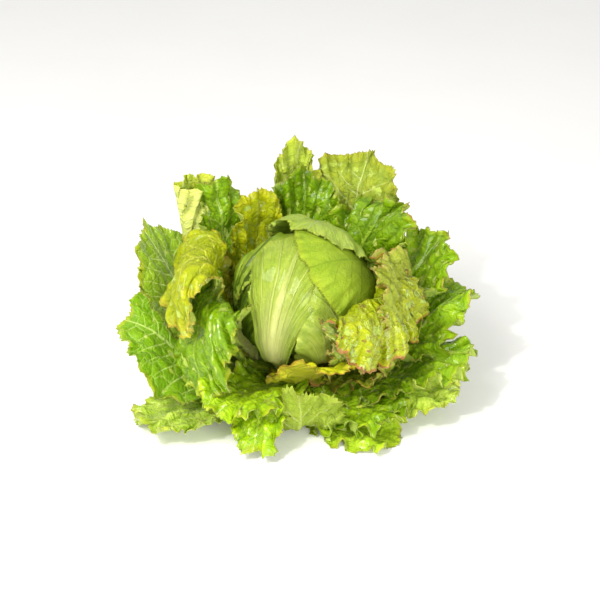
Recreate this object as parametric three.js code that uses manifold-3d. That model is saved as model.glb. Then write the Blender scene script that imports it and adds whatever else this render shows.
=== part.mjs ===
// A crisphead lettuce as it is cut in the field: a short stem, a tight ball of folded leaves,
// and the loose wrapper leaves that spread round it and lie on the table.
// Millimetres and degrees, +Z up, origin at the centre of the stem's cut face.
import * as THREE from "three";
import { mergeVertices } from "three/addons/utils/BufferGeometryUtils.js";
import Module from "manifold-3d";

// Driving dimensions
const HEART_RADIUS = 57; // the tight ball of the youngest leaves
const HEAD_CENTRE = new THREE.Vector3(14, 0, 107); // the ball leans a little to the right
const HEAD_LEAN = 7.5; // degrees, towards +X
const HEAD_SQUASH = 0.97; // the head is slightly shorter than it is wide
const HEAD_FOOT_ARC = 17; // from the ball's lowest point to a head leaf's foot
const STEM_RADIUS = 15; // at the cut face
const STEM_WAIST = 16.5; // where the wrapper leaves stand
const STEM_TOP_RADIUS = 8; // under the ball
const STEM_HEIGHT = 46;
const STEM_SLANT = Math.tan(HEAD_LEAN * THREE.MathUtils.DEG2RAD);
const FOOT_RADIUS = 17; // from the stem's centre line to a wrapper leaf's foot
const FOOT_WIDTH = 9; // half a foot
const LEAF_THICKNESS = 1.2; // at the margin
const RIB_THICKNESS = 2; // over the midrib, at the foot
const CLEARANCE = 0.45; // between neighbouring pieces
const ROUNDING = 0.01; // smallest step that a cut edge keeps
const WELD = 1e-3; // vertices closer than this are one
const TABLE_GAP = 0.9; // how far a leaf's middle surface stays above the table
const TABLE_SOFTNESS = 2; // how gently a leaf settles on the table
const FAN = 160 * THREE.MathUtils.DEG2RAD; // half the angle that a leaf's margin sweeps
const LEAF_MIDDLE = 0.56; // where along its length a leaf is widest, if it names no belly
const ROLL_FULL = 60; // how far along its midrib a rolled leaf has its whole roll
const MARGIN_POWER = 2.4; // of the superellipse that is a leaf's outline
const WAVES = 4.5; // of the margin, on each side of the midrib
const RAYS = 12; // across a leaf's fan
const HEAD_STRIPS = 7; // of a head leaf, from foot to margin
const FLAT_STRIPS = 3; // of a wrapper leaf that lies flat
const TURN_PER_STRIP = 38; // degrees of the midrib's turning that need one strip more

// Leaves of the head lie on nested spheres round the heart, the youngest first. radius: the
// leaf's own sphere; azimuth: the side of the head that it grows from; width: half its width;
// twist: the leaf is turned about the line from the head's centre to this place on its midrib.
const HEAD_LEAVES = [
  { name: "head_leaf_inner_front", azimuth: -82, radius: 60.6, length: 165, width: 62, colour: "#cfdc70" },
  { name: "head_leaf_back_left", azimuth: 130, radius: 63.2, length: 192, width: 80, colour: "#c3d258" },
  {
    name: "head_leaf_left", azimuth: -158, radius: 65.8, length: 186, width: 52,
    belly: 0.65, taper: 0.5, colour: "#c6d55c",
  },
  {
    name: "head_leaf_low_right", azimuth: -48, radius: 68.4, length: 150, width: 52,
    taper: 0.3, colour: "#bdd04d",
  },
  {
    name: "head_leaf_front", azimuth: -110, radius: 71, length: 204, width: 46,
    belly: 0.75, taper: 1, colour: "#cada68",
  },
  {
    name: "head_leaf_right_cap", azimuth: 6, radius: 73.6, length: 230, width: 84,
    twist: { at: 147, turn: 44 }, colour: "#aec43e",
  },
  { name: "head_leaf_back_right", azimuth: 62, radius: 76.2, length: 230, width: 66, colour: "#a3b93a" },
];

// Wrapper leaves, the youngest first. height: where the leaf leaves the stem; wrap: how closely
// its sides follow the head, from 0, flat, to 1, round it; ruffle: height of the margin's waves;
// course: the midrib's slope, as pairs of distance along it and angle above the table;
// belly: where along its length the leaf is widest; taper: how much it narrows towards the foot;
// sweep: how far the tip turns round the stem; roll: how far the leaf is turned on its midrib;
// fold: where a side turns over: the side, its distance from the midrib, the bend's radius and
// the angle that it turns through.
const WRAPPERS = [
  {
    name: "wrapper_yellow", azimuth: 112, height: 31, length: 190, width: 36, wrap: 1, ruffle: 4,
    course: [[0, 0], [45, 38], [95, 82], [190, 92]],
    colour: "#9fa611",
  },
  {
    name: "wrapper_gold_edge", azimuth: -54, height: 27, length: 96, width: 54, wrap: 0.9, ruffle: 3,
    course: [[0, 0], [30, 45], [60, 52], [74, 20], [96, -40]],
    belly: 0.66, sweep: 16, colour: "#b9ad12",
  },
  {
    name: "wrapper_left_hanging", azimuth: -167, height: 30, length: 226, width: 54, wrap: 0.85, ruffle: 4,
    course: [[0, 0], [40, 50], [78, 90], [108, 92], [130, 0], [152, -70], [226, -87]],
    belly: 0.72, taper: 0.6, sweep: 28, colour: "#8db114",
  },
  {
    name: "loose_leaf_crinkled", azimuth: -24, height: 30, length: 206, width: 70, wrap: 0.8, ruffle: 3,
    course: [[0, 0], [45, 42], [95, 82], [126, 84], [146, 0], [164, -62], [206, -82]],
    belly: 0.82, taper: 0.6, sweep: -14, colour: "#a3b60e",
  },
  {
    name: "wrapper_back_glossy", azimuth: 52, height: 28, length: 198, width: 62, wrap: 0.85, ruffle: 4,
    course: [[0, 0], [45, 38], [100, 72], [150, 72], [198, 30]],
    sweep: -18, colour: "#6d8d05",
  },
  {
    name: "loose_leaf_olive", azimuth: -6, height: 27.6, length: 216, width: 64, wrap: 0.8, ruffle: 3,
    course: [[0, 0], [60, 18], [105, 62], [160, 104], [216, 138]],
    taper: 0.3, sweep: -10, colour: "#9fa929",
  },
  {
    name: "wrapper_dark_upper", azimuth: 130, height: 27.6, length: 212, width: 36, wrap: 0.9, ruffle: 4,
    course: [[0, 0], [45, 36], [100, 71], [180, 84], [212, 76]],
    colour: "#6d8d16",
  },
  {
    name: "wrapper_back_dark", azimuth: 82, height: 24.8, length: 208, width: 44, wrap: 0.8, ruffle: 4,
    course: [[0, 0], [45, 38], [105, 74], [165, 82], [208, 60]],
    colour: "#5f7f0a",
  },
  {
    name: "wrapper_back_tall", azimuth: 89, height: 16.8, length: 248, width: 22, wrap: 0.6, ruffle: 5,
    course: [[0, 0], [45, 30], [105, 66], [200, 78], [252, 66]],
    belly: 0.8, sweep: -4, colour: "#c3ca5a",
  },
  {
    name: "wrapper_pale_fold", azimuth: 142, height: 24.6, length: 228, width: 56, wrap: 0.7, ruffle: 4,
    course: [[0, 0], [45, 32], [110, 62], [180, 80], [228, 86]],
    fold: { side: 1, from: 9, radius: 5, turn: 165 }, colour: "#cacf74",
  },
  {
    name: "wrapper_front_left", azimuth: -118, height: 23, length: 118, width: 46, wrap: 0.6, ruffle: 4,
    course: [[0, 0], [35, 24], [75, 18], [118, -30]],
    belly: 0.64, colour: "#85a12a",
  },
  {
    name: "wrapper_back_right", azimuth: 60, height: 22.2, length: 240, width: 58, wrap: 0.65, ruffle: 6,
    course: [[0, 0], [45, 30], [110, 60], [180, 71], [240, 62]],
    belly: 0.7, colour: "#a9b944",
  },
  {
    name: "wrapper_left_gold", azimuth: 166, height: 22.2, length: 242, width: 52, wrap: 0.7, ruffle: 4,
    course: [[0, 0], [45, 48], [92, 90], [150, 90], [172, 0], [194, -70], [242, -84]],
    belly: 0.78, taper: 0.5, sweep: 36, colour: "#a4a51c",
  },
  {
    name: "wrapper_right_back", azimuth: 26, height: 19.6, length: 204, width: 58, wrap: 0.6, ruffle: 5,
    course: [[0, 0], [45, 22], [110, 48], [204, 55]],
    colour: "#7f9c1c",
  },
  {
    name: "wrapper_left_upper", azimuth: 157, height: 19.6, length: 204, width: 58, wrap: 0.5, ruffle: 5,
    course: [[0, 0], [45, 26], [120, 61], [204, 56]],
    colour: "#a3c232",
  },
  {
    name: "wrapper_right_upper", azimuth: 10, height: 17, length: 192, width: 56, wrap: 0.5, ruffle: 6,
    course: [[0, 0], [45, 16], [110, 38], [160, 38], [192, 5]],
    colour: "#98ac33",
  },
  {
    name: "wrapper_left_flat", azimuth: 180, height: 17, length: 162, width: 58, wrap: 0.35, ruffle: 5,
    course: [[0, 0], [45, 16], [120, 46], [162, 24]],
    roll: -22, colour: "#9ec334",
  },
  {
    name: "wrapper_right_frill", azimuth: -12, height: 14.2, length: 174, width: 50, wrap: 0.4, ruffle: 5,
    course: [[0, 0], [45, 9], [110, 28], [174, 14]],
    colour: "#8ba52a",
  },
  {
    name: "wrapper_front_mid", azimuth: -40, height: 11.4, length: 126, width: 46, wrap: 0.3, ruffle: 4,
    course: [[0, 0], [45, 5], [90, 12], [126, -2]],
    colour: "#5e7a12",
  },
  {
    name: "wrapper_front_glossy", azimuth: -104, height: 14, length: 128, width: 30, wrap: 0.3, ruffle: 3,
    course: [[0, 4], [40, 18], [70, 18], [92, -20], [128, -78]],
    colour: "#9bbe1d",
  },
  {
    name: "wrapper_back_low_left", azimuth: 126, height: 11.4, length: 190, width: 74, wrap: 0.35, ruffle: 6,
    course: [[0, 0], [45, 8], [120, 30], [190, 12]],
    colour: "#8aa82c",
  },
  {
    name: "wrapper_front_fold", azimuth: -82, height: 8.6, length: 126, width: 44, wrap: 0.3, ruffle: 3,
    course: [[0, -4], [40, -2], [62, 4], [82, 72], [126, 96]],
    colour: "#b7c24d",
  },
  {
    name: "wrapper_back_low_right", azimuth: 44, height: 8.6, length: 184, width: 74, wrap: 0.4, ruffle: 6,
    course: [[0, 0], [45, 7], [120, 22], [184, 4]],
    colour: "#7d9a26",
  },
  {
    name: "wrapper_floor_right", azimuth: -15, height: 5.8, length: 160, width: 46, wrap: 0.2, ruffle: 3,
    course: [[0, 0], [45, 10], [100, 12], [160, -14]],
    colour: "#8fb22d",
  },
  {
    name: "wrapper_floor_left", azimuth: -150, height: 3.4, length: 148, width: 52, wrap: 0.2, ruffle: 4,
    course: [[0, -3], [60, 6], [110, 6], [156, -8]],
    roll: 14, colour: "#627e2b",
  },
  {
    name: "wrapper_front_frill", azimuth: -47, height: 3, length: 128, width: 38, wrap: 0.2, ruffle: 4,
    course: [[0, -2], [45, -1], [128, 1]],
    colour: "#a9c845",
  },
  {
    name: "wrapper_back_floor", azimuth: 92, height: 3, length: 156, width: 62, wrap: 0.2, ruffle: 5,
    course: [[0, -2], [45, -1], [156, 5]],
    colour: "#7f9a2c",
  },
];

const wasm = await Module();
wasm.setup();
const headFrame = new THREE.Matrix4()
  .makeRotationY(HEAD_LEAN * THREE.MathUtils.DEG2RAD)
  .setPosition(HEAD_CENTRE);

// The midrib's slope at a distance along it, eased between the course's pairs.
function slopeAt(course, distance) {
  let i = 0;
  while (i < course.length - 2 && distance > course[i + 1][0]) i++;
  const [from, a] = course[i];
  const [to, b] = course[i + 1];
  const t = THREE.MathUtils.clamp((distance - from) / (to - from), 0, 1);
  return THREE.MathUtils.degToRad(a + ((b - a) * (t + t * t * (3 - 2 * t))) / 2);
}

// The midrib as points one millimetre apart: distance from the stem's centre line, and height.
function midrib(leaf) {
  const path = [[FOOT_RADIUS, leaf.height]];
  for (let d = 0.5; d < leaf.length * 1.3; d++) {
    const [r, z] = path[path.length - 1];
    const slope = slopeAt(leaf.course, d);
    path.push([r + Math.cos(slope), z + Math.sin(slope)]);
  }
  return path;
}

// How many strips a wrapper leaf's mesh needs for its midrib's bends.
function stripsFor(course) {
  let turning = 0;
  for (let i = 1; i < course.length; i++) turning += Math.abs(course[i][1] - course[i - 1][1]);
  return FLAT_STRIPS + Math.round(turning / TURN_PER_STRIP);
}

// A leaf laid flat: u runs from the foot to the margin, and v from one side to the other as rays
// that leave the foot together and bend out to a superellipse, as the veins do.
function flatPoint(leaf, u, v) {
  const angle = v * FAN;
  const middle = (leaf.belly ?? LEAF_MIDDLE) * leaf.length;
  const half = Math.cos(angle) > 0 ? leaf.length - middle : middle;
  const across = Math.abs(Math.sin(angle)) / leaf.width;
  const along = Math.abs(Math.cos(angle)) / half;
  const reach = (across ** MARGIN_POWER + along ** MARGIN_POWER) ** (-1 / MARGIN_POWER);
  const end = middle + reach * Math.cos(angle);
  const narrowing = (leaf.taper ?? 0) * THREE.MathUtils.clamp(1 - end / middle, 0, 1);
  const side = reach * Math.sin(angle) * (1 - narrowing);
  const bend = Math.min(Math.max(0.62 * end, 0.3 * Math.abs(side)), 0.9 * end + 4);
  const w = 1 - u;
  return [
    w * w * v * FOOT_WIDTH + 2 * u * w * v * FOOT_WIDTH * 1.3 + u * u * side,
    2 * u * w * bend + u * u * end,
  ];
}

// A wrapper leaf on the plant: the flat leaf's length follows the midrib's course, and its width
// goes round the stem in an arc.
function placeWrapper(leaf, side, along) {
  const path = (leaf.path ??= midrib(leaf));
  const step = THREE.MathUtils.clamp(Math.floor(along), 0, path.length - 2);
  const r = THREE.MathUtils.lerp(path[step][0], path[step + 1][0], along - step);
  const height = THREE.MathUtils.lerp(path[step][1], path[step + 1][1], along - step);
  const arcRadius = Math.max(r, 20) / leaf.wrap;
  const arc = THREE.MathUtils.clamp(side / arcRadius, -2.6, 2.6);
  const outwards = r - arcRadius * (1 - Math.cos(arc));
  const sideways = arcRadius * Math.sin(arc);
  const share = along / leaf.length;
  const turn = THREE.MathUtils.degToRad(leaf.azimuth + (leaf.sweep ?? 0) * share * share);
  return new THREE.Vector3(
    STEM_SLANT * leaf.height + outwards * Math.cos(turn) - sideways * Math.sin(turn),
    outwards * Math.sin(turn) + sideways * Math.cos(turn),
    height,
  );
}

// A point on a sphere of radius one: a head leaf's length runs up a meridian, and its width
// goes across it.
function onHead(leaf, side, along) {
  const up = (HEAD_FOOT_ARC + along) / leaf.radius;
  const across = side / leaf.radius;
  const turn = THREE.MathUtils.degToRad(leaf.azimuth);
  return new THREE.Vector3(
    Math.cos(across) * Math.sin(up) * Math.cos(turn) - Math.sin(across) * Math.sin(turn),
    Math.cos(across) * Math.sin(up) * Math.sin(turn) + Math.sin(across) * Math.cos(turn),
    -Math.cos(across) * Math.cos(up),
  );
}

// A leaf of the head, twisted, brought to its own radius and leaned with the ball.
function placeHeadLeaf(leaf, side, along) {
  const point = onHead(leaf, side, along);
  if (leaf.twist) {
    point.applyAxisAngle(onHead(leaf, 0, leaf.twist.at), THREE.MathUtils.degToRad(leaf.twist.turn));
  }
  point.z *= HEAD_SQUASH;
  return point.multiplyScalar(leaf.radius).applyMatrix4(headFrame);
}

// The direction that a leaf's upper face looks in.
function upperNormal(place, leaf, side, along) {
  const a = place(leaf, side, along + 0.5).sub(place(leaf, side, along - 0.5));
  const b = place(leaf, side + 0.5, along).sub(place(leaf, side - 0.5, along));
  return a.cross(b).normalize();
}

// A point of a leaf's middle surface: waved at the margin, rolled, folded over and settled on
// the table.
function leafPoint(place, leaf, u, v) {
  let [side, along] = flatPoint(leaf, u, v);
  let rise = (leaf.ruffle ?? 0) * u ** 3 * Math.sin(WAVES * Math.PI * v + leaf.azimuth);
  const rolled = THREE.MathUtils.clamp(along / ROLL_FULL, 0, 1);
  rise += Math.sin(THREE.MathUtils.degToRad(leaf.roll ?? 0)) * side * rolled;
  const fold = leaf.fold;
  if (fold && side * fold.side > fold.from) {
    const past = side * fold.side - fold.from;
    const turn = THREE.MathUtils.degToRad(fold.turn);
    const bent = Math.min(past / fold.radius, turn);
    const rest = past - bent * fold.radius;
    side = fold.side * (fold.from + fold.radius * Math.sin(bent) + rest * Math.cos(bent));
    rise += fold.radius * (1 - Math.cos(bent)) + rest * Math.sin(bent);
  }
  const point = place(leaf, side, along).addScaledVector(upperNormal(place, leaf, side, along), rise);
  const clear = (point.z - TABLE_GAP) / TABLE_SOFTNESS;
  if (clear < 20) point.z = TABLE_GAP + TABLE_SOFTNESS * Math.log1p(Math.exp(clear));
  return point;
}

// A leaf as a closed shell: the middle surface moved half the thickness each way, and a rim.
// grow makes it larger on every side.
function leafShell(place, leaf, strips, grow) {
  const row = RAYS + 1;
  const count = (strips + 1) * row;
  const position = new Float32Array(count * 6);
  const step = 0.02;
  const beyond = (2 * grow) / leaf.length;
  const spread = (i, most) => i / most + (i === most ? beyond : 0) - (i === 0 ? beyond : 0);
  for (let i = 0; i <= strips; i++)
    for (let j = 0; j <= RAYS; j++) {
      const u = spread(i, strips);
      const v = 2 * spread(j, RAYS) - 1;
      const point = leafPoint(place, leaf, u, v);
      const along = leafPoint(place, leaf, Math.min(u + step, 1), v)
        .sub(leafPoint(place, leaf, Math.max(u - step, 0), v));
      const across = leafPoint(place, leaf, u, Math.min(v + step, 1))
        .sub(leafPoint(place, leaf, u, Math.max(v - step, -1)));
      const normal = along.cross(across).normalize();
      const rib = (1 - u) * Math.exp(-((v / 0.35) ** 2));
      const half = THREE.MathUtils.lerp(LEAF_THICKNESS, RIB_THICKNESS, rib) / 2 + grow;
      const k = i * row + j;
      point.clone().addScaledVector(normal, half).toArray(position, k * 3);
      point.addScaledVector(normal, -half).toArray(position, (count + k) * 3);
    }
  const index = [];
  const quad = (a, b, c, d) => index.push(a, b, c, a, c, d);
  for (let i = 0; i < strips; i++)
    for (let j = 0; j < RAYS; j++) {
      const k = i * row + j;
      quad(k, k + row, k + row + 1, k + 1);
      quad(count + k, count + k + 1, count + k + row + 1, count + k + row);
    }
  const rim = [];
  for (let j = 0; j < RAYS; j++) rim.push(j);
  for (let i = 0; i < strips; i++) rim.push(i * row + RAYS);
  for (let j = RAYS; j > 0; j--) rim.push(strips * row + j);
  for (let i = strips; i > 0; i--) rim.push(i * row);
  rim.forEach((k, n) => {
    const next = rim[(n + 1) % rim.length];
    quad(k, next, count + next, count + k);
  });
  return new THREE.BufferGeometry()
    .setAttribute("position", new THREE.BufferAttribute(position, 3))
    .setIndex(index);
}

// The short stem, slanting towards the head's lowest point.
function stemShape(grow) {
  const profile = [
    [0, -grow],
    [STEM_RADIUS - 1 + grow, -grow],
    [STEM_RADIUS + grow, 1],
    [STEM_WAIST + grow, 5],
    [STEM_WAIST + grow, STEM_HEIGHT - 14],
    [STEM_TOP_RADIUS + 3 + grow, STEM_HEIGHT - 4],
    [STEM_TOP_RADIUS + grow, STEM_HEIGHT + grow],
    [0, STEM_HEIGHT + grow],
  ];
  const shear = new THREE.Matrix4().makeShear(0, 0, 0, 0, STEM_SLANT, 0);
  return new THREE.LatheGeometry(profile.map(([r, z]) => new THREE.Vector2(r, z)), 28)
    .rotateX(Math.PI / 2)
    .applyMatrix4(shear);
}

// The heart: the tight ball of young leaves inside the head.
function heartShape(grow) {
  return new THREE.SphereGeometry(HEART_RADIUS + grow, 26, 15)
    .rotateX(Math.PI / 2)
    .scale(1, 1, HEAD_SQUASH)
    .applyMatrix4(headFrame);
}

function solidOf(geometry) {
  const bare = geometry.clone();
  bare.deleteAttribute("normal");
  bare.deleteAttribute("uv");
  const merged = mergeVertices(bare, WELD);
  return new wasm.Manifold(
    new wasm.Mesh({
      numProp: 3,
      vertProperties: merged.attributes.position.array,
      triVerts: new Uint32Array(merged.index.array),
    }),
  );
}

function largestBody(solid) {
  return solid.decompose().sort((a, b) => b.volume() - a.volume())[0];
}

function geometryOf(solid) {
  const { vertProperties, triVerts } = solid.getMesh();
  return new THREE.BufferGeometry()
    .setAttribute("position", new THREE.BufferAttribute(vertProperties, 3))
    .setIndex(new THREE.BufferAttribute(triVerts, 1));
}

function meshOf(name, solid, colour, roughness) {
  const geometry = geometryOf(solid);
  geometry.computeVertexNormals();
  const mesh = new THREE.Mesh(
    geometry,
    new THREE.MeshStandardMaterial({ color: colour, roughness, metalness: 0 }),
  );
  mesh.name = name;
  return mesh;
}

// Each piece gives way to the pieces inside it, so that no two touch.
const pieces = [
  { name: "stem", shape: stemShape, colour: "#dfe3b0", roughness: 0.6 },
  { name: "heart", shape: heartShape, colour: "#d6df86", roughness: 0.5 },
  ...HEAD_LEAVES.map((leaf) => ({
    ...leaf, shape: (grow) => leafShell(placeHeadLeaf, leaf, HEAD_STRIPS, grow), roughness: 0.42,
  })),
  ...WRAPPERS.map((leaf) => ({
    ...leaf, shape: (grow) => leafShell(placeWrapper, leaf, stripsFor(leaf.course), grow), roughness: 0.38,
  })),
];
const lettuce = new THREE.Group();
const inside = [];
for (const piece of pieces) {
  let solid = solidOf(piece.shape(0));
  for (const neighbour of inside) {
    if (solid.intersect(neighbour).volume() > 0) solid = solid.subtract(neighbour);
  }
  solid = largestBody(solid).simplify(ROUNDING);
  solid = largestBody(solidOf(geometryOf(solid)));
  inside.push(solidOf(piece.shape(CLEARANCE)).add(solidOf(piece.shape(0))));
  lettuce.add(meshOf(piece.name, solid, piece.colour, piece.roughness));
}

export default lettuce;
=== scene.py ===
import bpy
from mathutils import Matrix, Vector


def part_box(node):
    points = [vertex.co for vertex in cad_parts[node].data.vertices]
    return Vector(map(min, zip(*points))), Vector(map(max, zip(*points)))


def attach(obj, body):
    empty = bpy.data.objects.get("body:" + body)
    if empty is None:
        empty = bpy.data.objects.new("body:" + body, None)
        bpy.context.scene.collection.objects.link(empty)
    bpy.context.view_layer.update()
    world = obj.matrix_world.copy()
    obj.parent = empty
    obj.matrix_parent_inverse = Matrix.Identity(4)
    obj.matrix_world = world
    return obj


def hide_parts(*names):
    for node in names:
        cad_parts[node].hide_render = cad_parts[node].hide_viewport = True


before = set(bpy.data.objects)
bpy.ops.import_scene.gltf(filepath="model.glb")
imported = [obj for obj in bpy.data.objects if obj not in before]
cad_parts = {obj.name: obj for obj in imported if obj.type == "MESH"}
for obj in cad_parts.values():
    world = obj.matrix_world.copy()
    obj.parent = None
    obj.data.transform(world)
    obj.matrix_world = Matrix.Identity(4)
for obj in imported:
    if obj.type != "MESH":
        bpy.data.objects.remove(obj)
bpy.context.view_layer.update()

import math
import bpy
import numpy as np


# ---- The stem ----
# The stub of stem that the knife left under the head: solid, crisp, cream-white flesh. The cut
# face stands on the table and has begun to rust, and the leaves grow from the sides above it.
STEM_HEIGHT = 46  # millimetres, as every size below
STEM_SLANT = math.tan(math.radians(7.5))  # towards the head's lowest point
STEM_PROFILE = np.array([  # radius and height, from the middle of the cut face to the top
    (0, 0), (5, 0.15), (10, 0.1), (14, 0), (14.7, 0.4), (15, 1), (15.9, 3), (16.5, 5), (16.4, 12),
    (16.5, 20), (16.3, 27), (16.5, 32), (14.6, 36), (11, 42), (9.4, 44.6), (8, 46), (4, 46),
    (0, 46)])
STEM_RINGS, STEM_COLUMNS = 64, 96
STEM_FLESH = "#e4e6bd"
STEM_SKIN = "#cfd795"
STEM_FIBRE = "#b8c46c"
STEM_RUST = "#a9744a"

stem_low, stem_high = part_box("stem")
MM = (stem_high.z - stem_low.z) / STEM_HEIGHT  # one millimetre, in metres


def put_mesh(name, points, faces):
    """The points, in millimetres, and the faces as one smooth object at the origin."""
    mesh = bpy.data.meshes.new(name)
    mesh.from_pydata(np.asarray(points, float).reshape(-1, 3) * MM, [], faces)
    mesh.polygons.foreach_set("use_smooth", np.ones(len(mesh.polygons), bool))
    mesh.update()
    piece = bpy.data.objects.new(name, mesh)
    bpy.context.scene.collection.objects.link(piece)
    return piece


def closed_rings(rings, columns, turned=False):
    """The faces of a stack of rings of points, closed at each end by a point that is numbered
    after the rings."""
    at = np.arange(columns)
    beside = (at + 1) % columns
    faces = []
    for k in range(rings - 1):
        low, high = k * columns, (k + 1) * columns
        faces += np.stack([low + at, low + beside, high + beside, high + at], 1).tolist()
    last = (rings - 1) * columns
    end = at * 0 + rings * columns
    faces += np.stack([beside, at, end], 1).tolist()
    faces += np.stack([last + at, last + beside, end + 1], 1).tolist()
    return [face[:1] + face[:0:-1] for face in faces] if turned else faces


def spun(radii, heights, columns, wobble):
    """A profile turned round the stem's line: x = r cos a + slant z, y = r sin a, with r grown
    by wobble(a, z), and one point at each pole."""
    angle = np.linspace(0, 2 * np.pi, columns, endpoint=False)
    r = radii[1:-1, None] * (1 + wobble(angle[None, :], heights[1:-1, None]))
    z = heights[1:-1, None] + 0 * angle
    rings = np.stack([r * np.cos(angle) + STEM_SLANT * z, r * np.sin(angle), z], -1)
    poles = [[0, 0, heights[0]], [STEM_SLANT * heights[-1], 0, heights[-1]]]
    return np.concatenate([rings.reshape(-1, 3), poles]), closed_rings(len(rings), columns)


def paint(code):
    """A colour written as six hexadecimal digits, as linear red, green, blue and one."""
    shade = np.array([int(code[i:i + 2], 16) for i in (1, 3, 5)]) / 255
    return (*np.where(shade <= 0.04045, shade / 12.92, ((shade + 0.055) / 1.055) ** 2.4), 1)


class Nodes:
    """The nodes of a material or of the world, with a short call for each kind in use."""

    def __init__(self, owner):
        owner.use_nodes = True
        self.nodes, self.links = owner.node_tree.nodes, owner.node_tree.links
        self.nodes.clear()

    def fill(self, node, inputs):
        """Gives a node's inputs their values: other nodes' outputs, numbers or colours."""
        for name, value in inputs.items():
            if isinstance(value, bpy.types.NodeSocket):
                self.links.new(value, node.inputs[name])
            else:
                node.inputs[name].default_value = value

    def new(self, kind, inputs=(), **settings):
        """A new node, given its settings and then its inputs."""
        node = self.nodes.new("ShaderNode" + kind)
        for name, value in settings.items():
            setattr(node, name, value)
        self.fill(node, dict(inputs))
        return node

    def sums(self, kind, a, b=0.0, c=0.0, clamp=False):
        """a, b and c put through one operation."""
        return self.new("Math", {0: a, 1: b, 2: c}, operation=kind, use_clamp=clamp).outputs[0]

    def plus(self, a, b, clamp=False):
        """a + b, kept between 0 and 1 if it is clamped"""
        return self.sums("ADD", a, b, clamp=clamp)

    def times(self, a, b):
        """a b"""
        return self.sums("MULTIPLY", a, b)

    def line(self, a, slope, start):
        """a slope + start"""
        return self.sums("MULTIPLY_ADD", a, slope, start)

    def larger(self, a, b):
        """the larger of a and b"""
        return self.sums("MAXIMUM", a, b)

    def blend(self, share, a, b):
        """The colour a turning into b as share goes from 0 to 1."""
        return self.new("Mix", {0: share, 6: a, 7: b}, data_type="RGBA").outputs[2]

    def ramp(self, value, low, high, a=0.0, b=1.0):
        """a up to where value is low, b from where it is high, and an eased way between."""
        inputs = dict(enumerate((value, low, high, a, b)))
        return self.new("MapRange", inputs, interpolation_type="SMOOTHSTEP").outputs[0]

    def mottle(self, where, scale, detail=3.0, rough=0.55):
        """Soft random blotches between 0 and 1, scale of them to one unit of where."""
        inputs = {"Vector": where, "Scale": scale, "Detail": detail, "Roughness": rough}
        return self.new("TexNoise", inputs).outputs[0]


def new_finish(name):
    """An empty material, its nodes, and its one shader, joined to the output."""
    finish = bpy.data.materials.new(name)
    nodes = Nodes(finish)
    shader = nodes.new("BsdfPrincipled")
    nodes.new("OutputMaterial", {0: shader.outputs[0]})
    return finish, nodes, shader


def stem_finish():
    """Cream flesh with fine upright fibres, greener skin higher up, and rust on the cut."""
    finish, nodes, shader = new_finish("stem_flesh")
    place = nodes.new("TexCoord").outputs["Object"]
    upright = nodes.new("Mapping", {"Vector": place, "Scale": (1, 1, 0.15)}).outputs[0]
    fibre = nodes.mottle(upright, 900)
    patch = nodes.mottle(place, 160, 4)
    height = nodes.sums("DIVIDE", nodes.new("SeparateXYZ", {0: place}).outputs[2], MM)
    flesh = nodes.blend(nodes.ramp(height, 2, 22), paint(STEM_FLESH), paint(STEM_SKIN))
    flesh = nodes.blend(nodes.ramp(fibre, 0.45, 0.7, 0, 0.35), flesh, paint(STEM_FIBRE))
    cut = nodes.ramp(height, 0.3, 1.6, 1, 0)
    rust = nodes.times(cut, nodes.ramp(patch, 0.4, 0.62))
    nodes.fill(shader, {
        "Base Color": nodes.blend(rust, flesh, paint(STEM_RUST)),
        "Roughness": nodes.ramp(patch, 0.3, 0.7, 0.42, 0.62),
        "Subsurface Weight": 0.3, "Subsurface Scale": 0.003,
        "Normal": nodes.new("Bump", {"Height": fibre, "Distance": 0.0004}).outputs[0]})
    return finish


def stem_wobble(a, z):
    """The share by which the stem bulges: five soft ribs above its cut face, and fine ones."""
    return 0.012 * np.sin(5 * a + 0.1 * z) * np.clip(z / 4, 0, 1) + 0.004 * np.sin(23 * a)


stem_walk = np.r_[0, np.cumsum(np.hypot(*np.diff(STEM_PROFILE, axis=0).T))]
stem_steps = np.linspace(0, 1, STEM_RINGS) * stem_walk[-1]
stem_radii = np.interp(stem_steps, stem_walk, STEM_PROFILE[:, 0])
stem_heights = np.interp(stem_steps, stem_walk, STEM_PROFILE[:, 1])
stem_radii[[0, -1]] = 0
stem = put_mesh("cut_stem", *spun(stem_radii, stem_heights, STEM_COLUMNS, stem_wobble))
stem.data.materials.append(stem_finish())
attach(stem, "root")
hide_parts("stem")


# ---- The heart ----
# The tight ball of the youngest leaves, folded over each other inside the head. It is smooth,
# pale and crisp, and shows only through the gaps between the head leaves.
HEART_RADIUS = 57
HEAD_LEAN = math.radians(7.5)
HEAD_SQUASH = 0.97
HEART_ROWS, HEART_COLUMNS = 64, 128
HEART_PALE = "#dbe39a"
HEART_GREEN = "#b9c860"

heart_low, heart_high = (np.array(corner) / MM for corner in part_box("heart"))
HEAD_CENTRE = (heart_low + heart_high) / 2


def leaned(points):
    """Points round the head's own centre, turned by the lean about Y and moved to its place."""
    x, y, z = np.moveaxis(points, -1, 0)
    across = x * math.cos(HEAD_LEAN) + z * math.sin(HEAD_LEAN)
    up = z * math.cos(HEAD_LEAN) - x * math.sin(HEAD_LEAN)
    return np.stack([across, y, up], -1) + HEAD_CENTRE


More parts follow.
